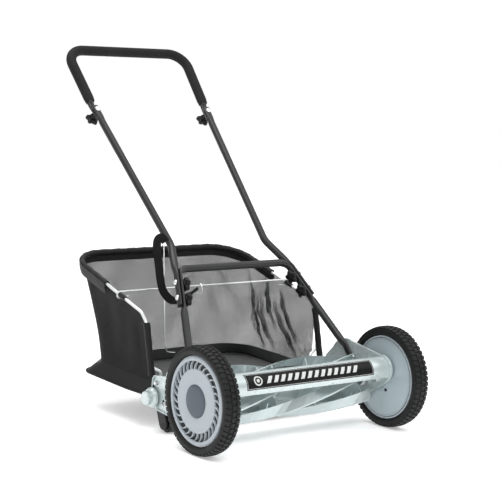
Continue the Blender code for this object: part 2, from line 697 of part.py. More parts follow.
def catcher_frame():
    half = [(0.2530, HOOK_Y, HOOK_Z), (0.2325, HOOK_Y, HOOK_Z), (0.2325, 0.2500, 0.1450)]
    half += [(RIM_X, 0.2565, 0.1610), (RIM_X, 0.2702, 0.2638), (RIM_X, RIM_FRONT_Y, RIM_FRONT_Z)]
    half += [(RIM_X, RIM_REAR_Y, RIM_REAR_Z)]
    radii = [0.006, 0.012, 0.020, 0.025, 0.025, RIM_CORNER]
    path = rounded(mirrored(half), radii + radii[::-1], 3)
    bm = bmesh.new()
    swept(bm, path, FRAME_RADIUS, None, 8)
    piece("catcher_frame", bm, "zinc", origin=(0, HOOK_Y, HOOK_Z))


def plan_curve(front_y, half_width, rear_y, corner, steps=6):
    """A U in plan, from the left front over the rear corners to the right front."""
    half = [(half_width, front_y, 0), (half_width, rear_y, 0)]
    return rounded(mirrored(half), [corner, corner], steps)


def floor_height(y):
    return 0.0868 + 0.045 * (y - 0.290)


def catcher_bag():
    """Side and rear walls of the bag, hung under the rim: open at the front and the top."""
    sheet = 0.0016
    levels = (
        (0.300, RIM_X, RIM_REAR_Y, RIM_CORNER, lambda y: rim_height(y) - 0.0115),
        (0.268, 0.2600, 0.6020, 0.095, lambda y: 0.60 * rim_height(y) + 0.40 * floor_height(y)),
        (0.286, 0.2570, 0.5850, 0.100, lambda y: floor_height(y) + 0.030),
    )
    rings = []
    for inset in (0, sheet):
        rows = []
        for front, width, rear, corner, height in levels:
            curve = plan_curve(front, width - inset, rear - inset, corner - inset)
            rows.append([(p.x, p.y, height(p.y)) for p in curve])
        rings.append(rows)
    outer, inner = rings
    sections = []
    for k in range(len(outer[0])):
        sections.append([row[k] for row in outer] + [row[k] for row in reversed(inner)])
    bm = bmesh.new()
    closed_rings(bm, sections)
    piece("catcher_bag", bm, "mesh_fabric", origin=(0, HOOK_Y, HOOK_Z))


def catcher_floor():
    """A shallow tray of stiff vinyl: a flat floor with its edges turned up on three sides."""
    front, width, rear, corner = 0.290, 0.2580, 0.5835, 0.050
    sheet, lip = 0.0025, 0.0285
    outer = plan_curve(front, width, rear, corner)
    inner = plan_curve(front, width - sheet, rear - sheet, corner - sheet)

    def lifted(curve, height):
        return [(p.x, p.y, floor_height(p.y) + height) for p in curve]

    bm = bmesh.new()
    loops = []
    for curve, height in ((outer, 0), (outer, lip), (inner, lip), (inner, sheet)):
        loops.append([bm.verts.new(p) for p in lifted(curve, height)])
    for low, high in zip(loops, loops[1:]):
        for i in range(len(low) - 1):
            bm.faces.new((low[i], low[i + 1], high[i + 1], high[i]))
    bm.faces.new(loops[0])
    bm.faces.new(loops[3])
    bm.faces.new([loops[0][0], loops[1][0], loops[2][0], loops[3][0], loops[3][-1], loops[2][-1],
                  loops[1][-1], loops[0][-1]])
    piece("catcher_floor", bm, "vinyl", origin=(0, HOOK_Y, HOOK_Z))


def cross_rod():
    """The wire across the catcher, hooked round the rim on both sides."""
    height = rim_height(ROD_Y)
    hook = 0.0085
    half = [(RIM_X - 0.026, ROD_Y + 0.003, height - hook + 0.003), (RIM_X, ROD_Y, height - hook)]
    for k in range(1, 6):
        angle = math.radians(-90 + 180 * k / 6)
        half.append((RIM_X + hook * math.cos(angle), ROD_Y, height + hook * math.sin(angle)))
    half.append((RIM_X, ROD_Y, height + hook))
    path = [Vector(p) for p in mirrored(half)]
    bm = bmesh.new()
    swept(bm, path, ROD_RADIUS, None, 8)
    piece("cross_rod", bm, "zinc", origin=(0, HOOK_Y, HOOK_Z))


def ribbon(bm, path, widths, thickness):
    """A flat strap along a path; widths gives the direction of its width at each point."""
    rings = []
    for i, (point, width) in enumerate(zip(path, widths)):
        low, high = max(i - 1, 0), min(i + 1, len(path) - 1)
        tangent = (Vector(path[high]) - Vector(path[low])).normalized()
        across = Vector(width)
        across = (across - tangent * across.dot(tangent))
        face = tangent.cross(across).normalized() * thickness / 2
        point = Vector(path[i])
        rings.append([point + across + face, point - across + face, point - across - face, point + across - face])
    closed_rings(bm, rings)


def lifting_strap():
    """Webbing that hangs from the right middle tube and holds the wire hook on the rod."""
    half_width = 0.010
    path = [(-0.1660, 0.372, 0.4585), (-0.1655, 0.370, 0.430), (-0.1640, 0.369, 0.400), (-0.1570, 0.367, 0.350)]
    path += [(-0.1480, 0.366, 0.320), (-0.1370, 0.366, 0.302), (-0.1180, 0.366, 0.291), (-0.0960, 0.368, 0.293)]
    path += [(-0.0730, 0.372, 0.302), (-0.0520, 0.375, 0.312)]
    widths = []
    for k in range(len(path)):
        lean = ease(k, 2, 6)
        widths.append((half_width * (1 - 0.7 * lean), half_width * 0.3, half_width * lean))
    bm = bmesh.new()
    ribbon(bm, rounded(path, [0.02] * (len(path) - 2), 1), widths * 3, 0.0016)
    piece("lifting_strap", bm, "webbing", origin=(0, PIVOT_Y, PIVOT_Z))


def rod_hook():
    """A bent wire hook that hangs on the cross rod."""
    top = rim_height(ROD_Y) + 0.0085
    reach = ROD_RADIUS + 0.0016 + 0.0008
    x = -0.0200
    path = [(x + 0.002, ROD_Y + reach, top - 0.006), (x + 0.001, ROD_Y + reach * 0.7, top + reach * 0.7)]
    path += [(x, ROD_Y, top + reach), (x, ROD_Y - reach * 0.7, top + reach * 0.7), (x, ROD_Y - reach, top)]
    path += [(x + 0.003, ROD_Y - reach - 0.001, top - 0.012), (x + 0.001, ROD_Y - reach, top - 0.020)]
    path += [(x - 0.009, ROD_Y - reach, top - 0.019), (x - 0.024, ROD_Y - reach, top - 0.014)]
    bm = bmesh.new()
    swept(bm, [Vector(p) for p in path], 0.0016, None, 6)
    piece("rod_hook", bm, "zinc", origin=(0, HOOK_Y, HOOK_Z))


for plate_name, plate_side in SIDES:
    side_plate(plate_name, plate_side)
    wheel(plate_name, plate_side)
    drive_gears(plate_name, plate_side)
front_cover()
bed_knife()
reel()
roller_group()
handle()
catcher_frame()
catcher_bag()
catcher_floor()
cross_rod()
lifting_strap()
rod_hook()
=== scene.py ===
# %% [markdown]
# # A push reel mower with a grass catcher
# The engineering model of the mower is the frame: every body of it already turns about the
# right axis. This lesson dresses that frame. Each step makes one visible piece, says what it
# is on the real mower, and fastens it to the body that it moves with.

# %% Load the frame
import math

import bmesh
import bpy
from mathutils import Matrix, Vector


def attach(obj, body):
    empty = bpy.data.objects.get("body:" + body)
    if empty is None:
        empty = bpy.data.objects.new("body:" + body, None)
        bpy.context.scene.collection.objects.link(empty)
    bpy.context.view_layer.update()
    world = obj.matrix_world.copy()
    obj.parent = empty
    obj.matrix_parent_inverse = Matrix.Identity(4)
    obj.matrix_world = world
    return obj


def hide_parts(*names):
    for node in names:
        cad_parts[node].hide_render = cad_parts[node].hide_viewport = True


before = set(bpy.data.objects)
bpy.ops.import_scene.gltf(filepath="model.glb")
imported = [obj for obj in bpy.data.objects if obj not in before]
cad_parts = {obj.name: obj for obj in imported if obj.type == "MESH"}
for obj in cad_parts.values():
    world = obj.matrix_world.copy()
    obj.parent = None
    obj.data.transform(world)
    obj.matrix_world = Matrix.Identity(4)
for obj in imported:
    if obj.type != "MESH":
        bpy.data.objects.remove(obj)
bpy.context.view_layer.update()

# %% [markdown]
# ## Drawing from the wheel axle
# It is easier to draw the mower from the line of its wheel axles, where y is 0. The frame
# puts its origin under the middle of the whole machine, so every piece is shifted back by
# the same amount when it is placed.

# %% Layout
SHIFT = Vector((0, -0.34805, 0))
AXLE = (0, 0.127)
SIDES = (("right", -1), ("left", 1))


def srgb(code):
    """A hex colour as linear RGBA, which is what shaders work in."""
    parts = [int(code[i:i + 2], 16) / 255 for i in (1, 3, 5)]
    return [c / 12.92 if c <= 0.04045 else ((c + 0.055) / 1.055) ** 2.4 for c in parts] + [1]


# %% [markdown]
# ## Camera
# A long lens, low and in front of the right wheel, shows the reel, the catcher and the whole
# handle at once with little distortion. The camera's axes are given as three unit vectors,
# which is the plainest way to aim a camera exactly.

# %% Camera
camera = bpy.data.objects.new("camera", bpy.data.cameras.new("camera"))
right = Vector((0.802, -0.59677, 0.02576)).normalized()
back = Vector((-0.59557, -0.79561, 0.11087)).normalized()
up = back.cross(right).normalized()
right = up.cross(back)
camera.matrix_world = Matrix.Translation(Vector((-2.139, -2.6457, 0.8341)) + SHIFT) @ Matrix(
    (right, up, back)
).transposed().to_4x4()
camera.data.sensor_width = 36
camera.data.lens = 104.27
camera.data.clip_end = 50
bpy.context.collection.objects.link(camera)
bpy.context.scene.camera = camera
print("lens:", camera.data.lens, "mm")

# %% [markdown]
# ## Studio
# Product shots use big soft lamps and white paper, so that paint shows long gentle
# highlights. A pale floor, a world that is white at
# the horizon and overhead but dimmer between, and three area lamps do the same here.


# %% Floor, world and lamps
def add_mesh(name, vertices, faces):
    mesh = bpy.data.meshes.new(name)
    mesh.from_pydata([tuple(v) for v in vertices], [], faces)
    thing = bpy.data.objects.new(name, mesh)
    bpy.context.collection.objects.link(thing)
    return thing


floor = add_mesh("floor", [(-9, -9, 0), (9, -9, 0), (9, 12, 0), (-9, 12, 0)], [(0, 1, 2, 3)])
paper = bpy.data.materials.new("white studio paper")
paper.use_nodes = True
paper_shader = paper.node_tree.nodes["Principled BSDF"]
paper_shader.inputs["Base Color"].default_value = srgb("#fbfbfb")
paper_shader.inputs["Roughness"].default_value = 0.9
paper_shader.inputs["Emission Color"].default_value = srgb("#ffffff")
paper_shader.inputs["Emission Strength"].default_value = 0.34
floor.data.materials.append(paper)
bpy.context.scene.view_settings.view_transform = "Standard"

world = bpy.data.worlds.new("studio")
world.use_nodes = True
sky = world.node_tree.nodes["Background"]
sky.inputs["Color"].default_value = (1, 1, 1, 1)
heading = world.node_tree.nodes.new("ShaderNodeTexCoord")
height = world.node_tree.nodes.new("ShaderNodeSeparateXYZ")
world.node_tree.links.new(heading.outputs["Generated"], height.inputs[0])
level = world.node_tree.nodes.new("ShaderNodeValToRGB")
world.node_tree.links.new(height.outputs["Z"], level.inputs[0])
while len(level.color_ramp.elements) < 5:
    level.color_ramp.elements.new(0.5)
SKY = ((0, 1), (0.08, 1), (0.14, 0.3), (0.3, 0.36), (0.8, 1.2))
for stop, (rise, glow) in zip(level.color_ramp.elements, SKY):
    stop.position = rise
    stop.color = (glow, glow, glow, 1)
world.node_tree.links.new(level.outputs[0], sky.inputs["Color"])
bpy.context.scene.world = world


def lamp(name, place, aim, size, power):
    data = bpy.data.lights.new(name, "AREA")
    data.size = size
    data.energy = power
    thing = bpy.data.objects.new(name, data)
    thing.location = place
    thing.rotation_euler = (Vector(aim) - Vector(place)).to_track_quat("-Z", "Y").to_euler()
    bpy.context.collection.objects.link(thing)


lamp("key", (-1.2, -2.6, 3.0), (0, -0.1, 0.3), 1.2, 38)
lamp("fill", (2.6, -1.6, 2.2), (0, -0.2, 0.3), 1.6, 16)
lamp("top", (-0.3, 0.8, 3.2), (0, 0, 0.3), 1.8, 30)

# %% [markdown]
# ## Finishes
# Each finish is a Principled shader. A fine noise, scaled from the real grain of the surface
# in millimetres, drives the bump and breaks up the roughness, because no real paint, rubber
# or plastic is perfectly even.


# %% Material helpers
def add_node(tree, kind, **values):
    """Add one shader node; keyword names are sockets, or properties when they start lowercase."""
    node = tree.nodes.new(kind)
    for key, value in values.items():
        if key[0].islower():
            setattr(node, key, value)
        elif isinstance(value, bpy.types.NodeSocket):
            tree.links.new(value, node.inputs[key])
        else:
            node.inputs[key].default_value = value
    return node


def finish(name, colour, roughness, metallic=0.0, grain_mm=1.0, bump=0.0, vary=0.08, mottle=0.0, coat=0.0):
    """A finish with grain: noise in real millimetres moves roughness, tone and height."""
    material = bpy.data.materials.new(name)
    material.use_nodes = True
    tree = material.node_tree
    shader = tree.nodes["Principled BSDF"]
    shader.inputs["Metallic"].default_value = metallic
    shader.inputs["Coat Weight"].default_value = coat
    shader.inputs["Coat Roughness"].default_value = 0.15
    place = add_node(tree, "ShaderNodeTexCoord")
    grain = add_node(tree, "ShaderNodeTexNoise", Scale=1000 / grain_mm, Detail=3.0,
                     Vector=place.outputs["Object"])
    cloud = add_node(tree, "ShaderNodeTexNoise", Scale=22.0, Detail=4.0, Vector=place.outputs["Object"])
    rough = add_node(tree, "ShaderNodeMapRange")
    tree.links.new(cloud.outputs["Fac"], rough.inputs["Value"])
    rough.inputs["To Min"].default_value = max(roughness - vary, 0.02)
    rough.inputs["To Max"].default_value = min(roughness + vary, 1)
    tree.links.new(rough.outputs["Result"], shader.inputs["Roughness"])
    tone = add_node(tree, "ShaderNodeMix", data_type="RGBA")
    linear = srgb(colour)
    dark = [c * (1 - mottle) for c in linear[:3]] + [1]
    tone.inputs[6].default_value = linear
    tone.inputs[7].default_value = dark
    tree.links.new(cloud.outputs["Fac"], tone.inputs[0])
    tree.links.new(tone.outputs[2], shader.inputs["Base Color"])
    if bump:
        relief = add_node(tree, "ShaderNodeBump", Strength=0.4, Distance=bump, Height=grain.outputs["Fac"])
        tree.links.new(relief.outputs["Normal"], shader.inputs["Normal"])
    return material


# %% Finishes of the mower
silver_paint = finish("silver grey enamel", "#c6d1d1", 0.28, 0.35, 0.8, 0.00006, 0.08, 0.06, 0.3)
# The gear shield's silver grey paint is made darker here as painted shade inside the wheel.
shaded_silver_paint = finish("silver grey enamel with painted shade", "#a0adb2", 0.32, 0.20, 0.8, 0.00003, 0.03, 0.03, 0.3)
reel_paint = finish("silver grey enamel on the reel", "#bfcacb", 0.25, 0.60, 0.8, 0.00004, 0.05, 0.05, 0.2)
steel = finish("ground tool steel", "#b9bdbe", 0.32, 1.0, 0.6, 0.00004, 0.10, 0.15)
zinc = finish("bright zinc plate", "#e6e8e8", 0.24, 0.65, 0.7, 0.00004, 0.08, 0.08)
tube_paint = finish("charcoal satin powder coat", "#171818", 0.36, 0.0, 0.5, 0.00005, 0.06, 0.15)
tube_paint.node_tree.nodes["Principled BSDF"].inputs["Specular IOR Level"].default_value = 0.55
foam = finish("black closed cell foam", "#1a1a1b", 0.78, 0.0, 0.9, 0.0004, 0.08, 0.25)
rubber = finish("black tyre rubber", "#151616", 0.55, 0.0, 0.8, 0.0001, 0.08, 0.25)
hub_plastic = finish("light grey moulded plastic", "#a3abb1", 0.36, 0.0, 0.9, 0.00006, 0.06, 0.05)
cap_plastic = finish("slate grey moulded plastic", "#414a55", 0.42, 0.0, 0.7, 0.00008, 0.06, 0.06)
vent_dark = finish("shadowed inner plastic", "#2f3335", 0.55, 0.0, 0.9, 0.00006, 0.06, 0.2)
black_plastic = finish("black nylon", "#0e0e0e", 0.40, 0.0, 0.7, 0.00008, 0.08, 0.2)
black_paint = finish("black enamel", "#101010", 0.35, 0.0, 0.8, 0.00005, 0.08, 0.2)
vinyl = finish("black vinyl sheet", "#141415", 0.50, 0.0, 1.2, 0.0003, 0.10, 0.3)
# The floor's own black vinyl is painted a lighter grey here, as painted light on the shaded floor inside
# the bag.
painted_light_vinyl = finish("black vinyl floor with painted light", "#616262", 0.55, 0.0, 1.2, 0.0003, 0.10, 0.3)
webbing = finish("black polyester webbing", "#0f0f0f", 0.80, 0.0, 1.4, 0.0006, 0.08, 0.3)
for dull in (foam, rubber, vinyl, webbing, black_plastic, black_paint, vent_dark):
    dull.node_tree.nodes["Principled BSDF"].inputs["Specular IOR Level"].default_value = 0.28
print("finishes:", len(bpy.data.materials) - 1)

# %% [markdown]
# ## Mesh cloth
# The bag is open polyester mesh, so light passes between its threads. The weave is drawn
# from UV coordinates in metres: a thread every 1.4 mm in both directions, with the gaps
# made see-through by the shader's alpha. A second UV map holds the share of each pitch that
# thread covers, because gathered cloth and folds close the gaps; along the folds it also
# holds painted shade.

# %% Mesh cloth
THREAD_PITCH = 0.0014
THREAD_SHARE = 0.58

mesh_cloth = finish("black polyester mesh", "#1f1f1f", 0.75, 0.0, 0.6, 0.0002, 0.05, 0.35)
cloth_tree = mesh_cloth.node_tree
cloth_tree.nodes["Principled BSDF"].inputs["Specular IOR Level"].default_value = 0.15
uv = add_node(cloth_tree, "ShaderNodeUVMap", uv_map="metres")
axes = add_node(cloth_tree, "ShaderNodeSeparateXYZ", Vector=uv.outputs["UV"])
masks = []
density = add_node(cloth_tree, "ShaderNodeUVMap", uv_map="density")
share = add_node(cloth_tree, "ShaderNodeSeparateXYZ", Vector=density.outputs["UV"])
for axis in ("X", "Y"):
    count = add_node(cloth_tree, "ShaderNodeMath", operation="DIVIDE")
    cloth_tree.links.new(axes.outputs[axis], count.inputs[0])
    count.inputs[1].default_value = THREAD_PITCH
    part = add_node(cloth_tree, "ShaderNodeMath", operation="FRACT")
    cloth_tree.links.new(count.outputs[0], part.inputs[0])
    thread = add_node(cloth_tree, "ShaderNodeMath", operation="LESS_THAN")
    cloth_tree.links.new(part.outputs[0], thread.inputs[0])
    cloth_tree.links.new(share.outputs["X"], thread.inputs[1])
    masks.append(thread)
woven = add_node(cloth_tree, "ShaderNodeMath", operation="MAXIMUM")
cloth_tree.links.new(masks[0].outputs[0], woven.inputs[0])
cloth_tree.links.new(masks[1].outputs[0], woven.inputs[1])
cloth_tree.links.new(woven.outputs[0], cloth_tree.nodes["Principled BSDF"].inputs["Alpha"])
print("threads cover", round(1 - (1 - THREAD_SHARE) ** 2, 2), "of the cloth")

# %% [markdown]
# ## Frame parts that already have the right shape
# Pressings, blades and shafts need no new geometry. Giving their slots a better material is
# enough, and keeps the visible part exactly where the mechanism has it.

# %% Dress the frame's own parts
LOOKS = (
    (silver_paint, ("side_plate", "bed_knife_bar", "height_bolt")),
    (shaded_silver_paint, ("gear_shield",)),
    (reel_paint, ("reel_blade", "reel_shaft")),
    (steel, ("reel_bearing", "pinion")),
    (zinc, ("wheel_axle", "clamp_bolt", "joint_bolt", "rod_hook", "cross_rod")),
    (hub_plastic, ("wheel_hub",)),
    (black_plastic, ("ring_gear", "rear_roller")),
    (black_paint, ("roller_bracket",)),
)
for node_name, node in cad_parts.items():
    for look, prefixes in LOOKS:
        if node_name.startswith(prefixes):
            for slot in node.material_slots:
                slot.material = look
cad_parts["bed_knife"].material_slots[0].material = steel
print("dressed", sum(len(p) for _, p in LOOKS), "kinds of part")


# %% [markdown]
# ## Helpers for turned and bent parts
# Most of a mower is either turned, such as a wheel, or bent from tube, such as the handle.
# Two helpers cover both: one spins a profile about the axle's direction, and one sweeps a
# circle along a path and can press it flat where tubes are bolted together.

# %% Geometry helpers
def place(name, bm, look, body, stands_for=(), sharp=35):
    """Finish a bmesh drawn in axle coordinates and fasten it to a body."""
    bmesh.ops.recalc_face_normals(bm, faces=bm.faces)
    mesh = bpy.data.meshes.new(name)
    bm.to_mesh(mesh)
    bm.free()
    mesh.shade_smooth()
    mesh.set_sharp_from_angle(angle=math.radians(sharp))
    mesh.materials.append(look)
    thing = bpy.data.objects.new(name, mesh)
    thing.location = SHIFT
    bpy.context.collection.objects.link(thing)
    bpy.context.view_layer.update()
    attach(thing, body)
    if stands_for:
        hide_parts(*stands_for)
    return thing


def skin(bm, rings, ends="caps"):
    loops = [[bm.verts.new(p) for p in ring] for ring in rings]
    pairs = list(zip(loops, loops[1:]))
    if ends == "round":
        pairs.append((loops[-1], loops[0]))
    for low, high in pairs:
        for i in range(len(low)):
            j = (i + 1) % len(low)
            bm.faces.new((low[i], low[j], high[j], high[i]))
    if ends == "caps":
        bm.faces.new(loops[0])
        bm.faces.new(loops[-1])


def turned(bm, profile, centre, segments=96, side=1):
    """Spin a closed (x, r) profile about a line along X."""
    rings = []
    for k in range(segments):
        angle = 2 * math.pi * k / segments
        y, z = math.cos(angle), math.sin(angle)
        rings.append([(side * x, centre[0] + r * y, centre[1] + r * z) for x, r in profile])
    skin(bm, rings, "round")
    bmesh.ops.remove_doubles(bm, verts=bm.verts, dist=1e-6)


def rounded(points, radii, steps=10):
    """Round the inner corners of a polyline; a radius of 0 keeps the corner."""
    points = [Vector(p) for p in points]
    path = [points[0]]
    for before, corner, after, radius in zip(points, points[1:], points[2:], radii):
        if radius == 0:
            path.append(corner)
            continue
        back = (before - corner).normalized()
        ahead = (after - corner).normalized()
        half = back.angle(ahead) / 2
        centre = corner + (back + ahead).normalized() * (radius / math.sin(half))
        first = corner + back * (radius / math.tan(half)) - centre
        last = corner + ahead * (radius / math.tan(half)) - centre
        axis = first.cross(last).normalized()
        for k in range(steps + 1):
            path.append(centre + Matrix.Rotation(first.angle(last) * k / steps, 3, axis) @ first)
    path.append(points[-1])
    return path


def refine(path, longest):
    """Split long straight stretches so that a press or a sag has points to work on."""
    fine = [path[0]]
    for a, b in zip(path, path[1:]):
        count = max(1, math.ceil((b - a).length / longest))
        fine += [a.lerp(b, k / count) for k in range(1, count + 1)]
    return fine


def swept(bm, path, radius, sides=20, squash=None):
    """Sweep a circle along a path without twisting it; radius may be a function of the index."""
    side = (path[1] - path[0]).orthogonal().normalized()
    rings = []
    for i, point in enumerate(path):
        tangent = (path[min(i + 1, len(path) - 1)] - path[max(i - 1, 0)]).normalized()
        side = (side - tangent * side.dot(tangent)).normalized()
        across = tangent.cross(side)
        reach = radius(i) if callable(radius) else radius
        pressed = squash(point) if squash else None
        ring = []
        for k in range(sides):
            angle = 2 * math.pi * k / sides
            offset = reach * (math.cos(angle) * side + math.sin(angle) * across)
            if pressed:
                direction, scale, shift = pressed
                offset += direction * (offset.dot(direction) * (scale - 1) + shift)
            ring.append(point + offset)
        rings.append(ring)
    skin(bm, rings)


def mirrored(points):
    flipped = [Vector((-p[0], p[1], p[2])) for p in points]
    return flipped + [Vector(p) for p in reversed(points)]


def ease(value, low, high):
    share = min(max((value - low) / (high - low), 0), 1)
    return share * share * (3 - 2 * share)


# %% [markdown]
# ## Tyres
# The tyres are solid black rubber with a carcass of rounded section. The tread is a row of
# blocks on each shoulder, staggered by half a pitch, which is what leaves the small marks
# around a mower's tyre. The blocks are separate raised bodies joined into one mesh.

# %% Tyres
TREAD_COUNT = 58
carcass = [(0.2990, 0.1044), (0.3030, 0.1075), (0.3045, 0.1120), (0.3042, 0.1170), (0.3020, 0.1215)]
carcass += [(0.2980, 0.1240), (0.2910, 0.1249), (0.2840, 0.1247), (0.2770, 0.1249), (0.2700, 0.1240)]
carcass += [(0.2660, 0.1215), (0.2638, 0.1170), (0.2635, 0.1120), (0.2650, 0.1075), (0.2690, 0.1044)]


def tread_block(bm, angle, width, x_low, x_high, side, skew):
    """One raised block; its top is smaller than its foot, and it leans round the shoulder."""
    corners = []
    for lift, shrink in ((0.1225, 1.0), (0.1262, 0.94), (0.1270, 0.84)):
        ring = []
        for u, w in ((-1, -1), (1, -1), (1, 1), (-1, 1)):
            x = (x_low + x_high) / 2 + u * (x_high - x_low) / 2 * shrink
            drop = 0.55 * max(abs(x - 0.284) - 0.012, 0) ** 2 * 100
            a = angle + w * width / 2 * shrink + skew * u
            r = lift - drop
            ring.append((side * x, r * math.cos(a), 0.127 + r * math.sin(a)))
        corners.append(ring)
    skin(bm, corners)


for name, side in SIDES:
    bm = bmesh.new()
    turned(bm, carcass, AXLE, 120, side)
    place(f"tyre_carcass_{name}", bm, rubber, f"wheel_{name}", [f"tyre_{name}"], 50)
    bm = bmesh.new()
    pitch = 2 * math.pi / TREAD_COUNT
    for k in range(TREAD_COUNT):
        tread_block(bm, k * pitch, pitch * 0.78, 0.2642, 0.2768, side, 0.010)
        tread_block(bm, (k + 0.5) * pitch, pitch * 0.78, 0.2780, 0.2900, side, 0.0)
        tread_block(bm, k * pitch, pitch * 0.78, 0.2912, 0.3038, side, -0.010)
    place(f"tread_{name}", bm, rubber, f"wheel_{name}", (), 40)
print("tread blocks:", 6 * TREAD_COUNT)

# %% [markdown]
# ## Wheel covers
# A pale plastic cover closes the outside of each wheel: a flat centre, a raised outer ring,
# and between them a band of curved vanes with dark openings. A slate cap hides the bolt.

# %% Wheel covers
VANES = 30
ring_profile = [(0.2952, 0.0925), (0.3016, 0.0925), (0.3028, 0.0940), (0.3030, 0.0965), (0.3022, 0.1000)]
ring_profile += [(0.3006, 0.1022), (0.2988, 0.1024), (0.2952, 0.0980)]
plate_profile = [(0.2952, 0.0385), (0.3010, 0.0385), (0.3016, 0.0400), (0.3018, 0.0560), (0.3015, 0.0725)]
plate_profile += [(0.3004, 0.0738), (0.2952, 0.0742)]
cap_profile = [(0.2982, 0.0), (0.2982, 0.0378), (0.3012, 0.0380), (0.3022, 0.0374), (0.3030, 0.0350)]
cap_profile += [(0.3036, 0.0260), (0.3040, 0.0130), (0.3041, 0.0)]
for name, side in SIDES:
    bm = bmesh.new()
    turned(bm, ring_profile, AXLE, 120, side)
    turned(bm, plate_profile, AXLE, 96, side)
    for k in range(VANES):
        rings = []
        for step in range(7):
            t = step / 6
            radius = 0.0738 + t * 0.0192
            angle = 2 * math.pi * k / VANES - side * 0.16 * t * t
            half = (0.0016 + 0.0009 * (1 - t)) / radius
            ring = []
            for x, da in ((0.2955, -half), (0.2955, half), (0.3006, half * 0.7), (0.3006, -half * 0.7)):
                y, z = radius * math.cos(angle + da), radius * math.sin(angle + da)
                ring.append((side * x, AXLE[0] + y, AXLE[1] + z))
            rings.append(ring)
        skin(bm, rings)
    place(f"vented_cover_{name}", bm, hub_plastic, f"wheel_{name}", [f"wheel_cover_{name}"])
    bm = bmesh.new()
    turned(bm, [(0.2946, 0.0730), (0.2962, 0.0730), (0.2962, 0.0935), (0.2946, 0.0935)], AXLE, 96, side)
    place(f"vent_backing_{name}", bm, vent_dark, f"wheel_{name}")
    bm = bmesh.new()
    turned(bm, cap_profile, AXLE, 72, side)
    place(f"centre_cap_{name}", bm, cap_plastic, f"wheel_{name}", [f"hub_cap_{name}"], 25)
print("vanes per wheel:", VANES)

# %% [markdown]
# ## Front cover and its label
# One steel sheet is rolled to a half round channel that guards the reel. A black adhesive
# label wraps part of its front. The label carries a thin silver line round its edge, a round
# emblem and a row of slanted bars, all drawn in the shader from UV coordinates in metres.

# %% Front cover
COVER = (-0.0165, 0.1515)
COVER_RADIUS = 0.0320


def arc_point(radius, degrees):
    a = math.radians(degrees)
    return COVER[0] + radius * math.cos(a), COVER[1] + radius * math.sin(a)


bm = bmesh.new()
outer = [arc_point(COVER_RADIUS, 72 + 138 * k / 48) for k in range(49)]
inner = [arc_point(COVER_RADIUS - 0.0015, 72 + 138 * k / 48) for k in range(49)]
lip = [(outer[-1][0] + 0.0075, outer[-1][1] - 0.0016), (inner[-1][0] + 0.0075, inner[-1][1] - 0.0016)]
section = outer + lip + inner[::-1]
skin(bm, [[(x, y, z) for y, z in section] for x in (-0.2425, 0.2425)])
place("cover_sheet", bm, silver_paint, "chassis", ["front_cover"], 30)

# %% Label
LABEL_HALF, LABEL_TOP, LABEL_BOTTOM = 0.192, 112, 186
label_length = math.radians(LABEL_BOTTOM - LABEL_TOP) * (COVER_RADIUS + 0.0003)

label_look = finish("black printed film", "#070707", 0.42, 0.0, 0.9, 0.00003, 0.04, 0.1, 0.0)
tree = label_look.node_tree
tree.nodes["Principled BSDF"].inputs["Specular IOR Level"].default_value = 0.2
uv = add_node(tree, "ShaderNodeUVMap", uv_map="metres")
axes = add_node(tree, "ShaderNodeSeparateXYZ", Vector=uv.outputs["UV"])
U, V = axes.outputs["X"], axes.outputs["Y"]


def calc(operation, a, b=None):
    """One math node on the label; a and b are sockets or numbers."""
    node = add_node(tree, "ShaderNodeMath", operation=operation)
    for k, value in enumerate((a, b)):
        if isinstance(value, bpy.types.NodeSocket):
            tree.links.new(value, node.inputs[k])
        elif value is not None:
            node.inputs[k].default_value = value
    return node.outputs[0]


def between(value, low, high):
    return calc("MULTIPLY", calc("GREATER_THAN", value, low), calc("LESS_THAN", value, high))


edge = calc("MINIMUM", calc("SUBTRACT", LABEL_HALF, calc("ABSOLUTE", U)),
            calc("SUBTRACT", label_length / 2, calc("ABSOLUTE", V)))
border = between(edge, 0.0022, 0.0031)
du = calc("ADD", U, 0.158)
distance = calc("SQRT", calc("ADD", calc("MULTIPLY", du, du), calc("MULTIPLY", V, V)))
emblem = calc("MAXIMUM", between(distance, 0.0085, 0.0120), calc("LESS_THAN", distance, 0.0045))
lean = calc("SUBTRACT", calc("ADD", U, 0.130), calc("MULTIPLY", V, 0.60))
bar = calc("LESS_THAN", calc("FRACT", calc("DIVIDE", lean, 0.020)), 0.55)
bars = calc("MULTIPLY", bar, calc("MULTIPLY", between(lean, 0.0, 0.280),
                                  calc("LESS_THAN", calc("ABSOLUTE", V), 0.0085)))
print_mask = calc("MAXIMUM", border, calc("MAXIMUM", emblem, bars))
ink = add_node(tree, "ShaderNodeMix", data_type="RGBA")
ink.inputs[6].default_value = srgb("#070707")
ink.inputs[7].default_value = srgb("#c9ccca")
tree.links.new(print_mask, ink.inputs[0])
tree.links.new(ink.outputs[2], tree.nodes["Principled BSDF"].inputs["Base Color"])

bm = bmesh.new()
layer = bm.loops.layers.uv.new("metres")
columns, rows = 24, 12
grid = []
for i in range(columns + 1):
    x = LABEL_HALF * (2 * i / columns - 1)
    line = []
    for j in range(rows + 1):
        y, z = arc_point(COVER_RADIUS + 0.0003, LABEL_TOP + (LABEL_BOTTOM - LABEL_TOP) * j / rows)
        line.append(bm.verts.new((x, y, z)))
    grid.append(line)
spots = {}
for i in range(columns + 1):
    for j in range(rows + 1):
        spots[grid[i][j]] = (LABEL_HALF * (2 * i / columns - 1), label_length * (0.5 - j / rows))
for i in range(columns):
    for j in range(rows):
        face = bm.faces.new((grid[i][j], grid[i][j + 1], grid[i + 1][j + 1], grid[i + 1][j]))
        for loop in face.loops:
            loop[layer].uv = spots[loop.vert]
place("cover_label", bm, label_look, "chassis")
print("label:", round(2000 * LABEL_HALF), "by", round(1000 * label_length), "mm")

# %% [markdown]
# ## Handle tubes
# The handle is 19 mm steel tube in three stages. Where two stages meet, both tubes are
# pressed flat so that they bolt together without rocking, and the press fades out again
# over a few centimetres. The grip end carries a sleeve of foam.

